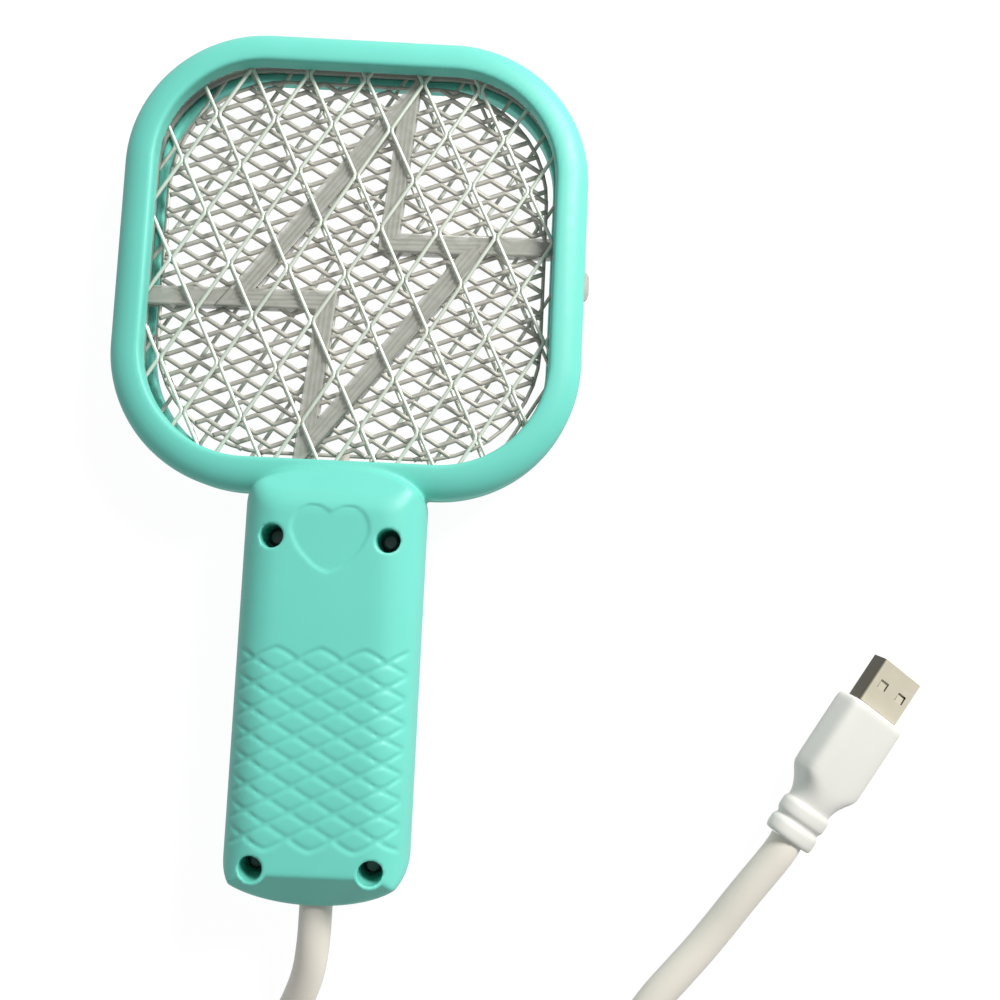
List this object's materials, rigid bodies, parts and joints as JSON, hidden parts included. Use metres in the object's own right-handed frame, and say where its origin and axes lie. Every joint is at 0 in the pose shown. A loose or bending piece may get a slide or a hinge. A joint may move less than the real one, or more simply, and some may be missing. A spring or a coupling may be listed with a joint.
{
  "type": "electric fly swatter",
  "caption": "Mint green electric fly swatter: square rounded head with layered wire meshes, short ribbed-grip handle and a captive charging cord tied in a coil.",
  "frame": {"origin": "bottom centre of the swatter's bounding box, cord left out", "axes": "+Y from the handle to the head, +Z out of the back (screw) side, X across the head; the swatter lies on its front face"},
  "size_m": [0.1817, 0.3109, 0.025],
  "materials": {
    "mint_plastic": "satin mint green moulded plastic",
    "mint_inner_plastic": "plain mint green plastic",
    "guard_metal": "expanded metal, pale",
    "mesh_metal": "expanded metal, grey",
    "clear_plastic": "clear, slightly milky",
    "screw_steel": "plain zinc",
    "plug_shell_metal": "bright nickel",
    "white_plastic": "satin white",
    "plug_plastic": "moulded white PVC",
    "cord_jacket": "soft white PVC",
    "black_plastic": "plain",
    "red_plastic": "plain",
    "board_laminate": "green solder resist",
    "cell_wrap": "shrink wrap",
    "ferrite": "dark ferrite",
    "winding_tape": "yellow polyester tape",
    "capacitor_epoxy": "dipped epoxy",
    "resistor_paint": "beige lacquer"
  },
  "bodies": {
    "swatter": {"rear_cover": "mint_plastic", "front_cover": "mint_plastic", "case_screw_1": "screw_steel", "case_screw_2": "screw_steel", "case_screw_3": "screw_steel", "case_screw_4": "screw_steel", "rear_guard_mesh": "guard_metal", "front_guard_mesh": "guard_metal", "high_voltage_mesh": "mesh_metal", "rear_spacer": "clear_plastic", "front_spacer": "clear_plastic", "tact_switch_body": "black_plastic", "power_switch_body": "screw_steel", "indicator_led": "red_plastic", "indicator_lens": "clear_plastic", "circuit_board": "board_laminate", "battery_cell": "cell_wrap", "transformer_core": "ferrite", "transformer_winding": "winding_tape", "high_voltage_capacitor": "capacitor_epoxy", "multiplier_diode_1": "black_plastic", "multiplier_diode_2": "black_plastic", "multiplier_diode_3": "black_plastic", "bleed_resistor": "resistor_paint", "drive_transistor": "black_plastic", "charging_chip": "black_plastic", "rear_guard_lead": "black_plastic", "front_guard_lead": "black_plastic", "high_voltage_lead": "red_plastic", "battery_lead_positive": "red_plastic", "battery_lead_negative": "black_plastic", "charge_wire_positive": "red_plastic", "charge_wire_negative": "black_plastic", "cord_grommet": "black_plastic", "cord_clamp": "mint_inner_plastic", "cord_lead": "cord_jacket", "cord_coil": "cord_jacket", "cord_tail": "cord_jacket", "cord_tie": "black_plastic", "usb_overmould": "plug_plastic", "usb_shell": "plug_shell_metal", "usb_tongue": "plug_plastic"},
    "button": {"push_button": "white_plastic"},
    "tact_plunger": {"tact_switch_plunger": "white_plastic"},
    "power_knob": {"power_switch_knob": "black_plastic"}
  },
  "joints": [
    {"name": "button_press", "type": "slide", "parent": "swatter", "child": "button", "axis": [0, 0, 1], "range_m": [0, 0.0008], "stiffness_N_per_m": 900, "springref_m": -0.0004},
    {"name": "tact_press", "type": "slide", "parent": "swatter", "child": "tact_plunger", "axis": [0, 0, 1], "range_m": [0, 0.0005]},
    {"name": "power_switch_slide", "type": "slide", "parent": "swatter", "child": "power_knob", "axis": [0, 1, 0], "range_m": [0, 0.003]}
  ],
  "couplings": [
    {"joint": "tact_press", "follows": "button_press", "ratio": 0.5}
  ]
}
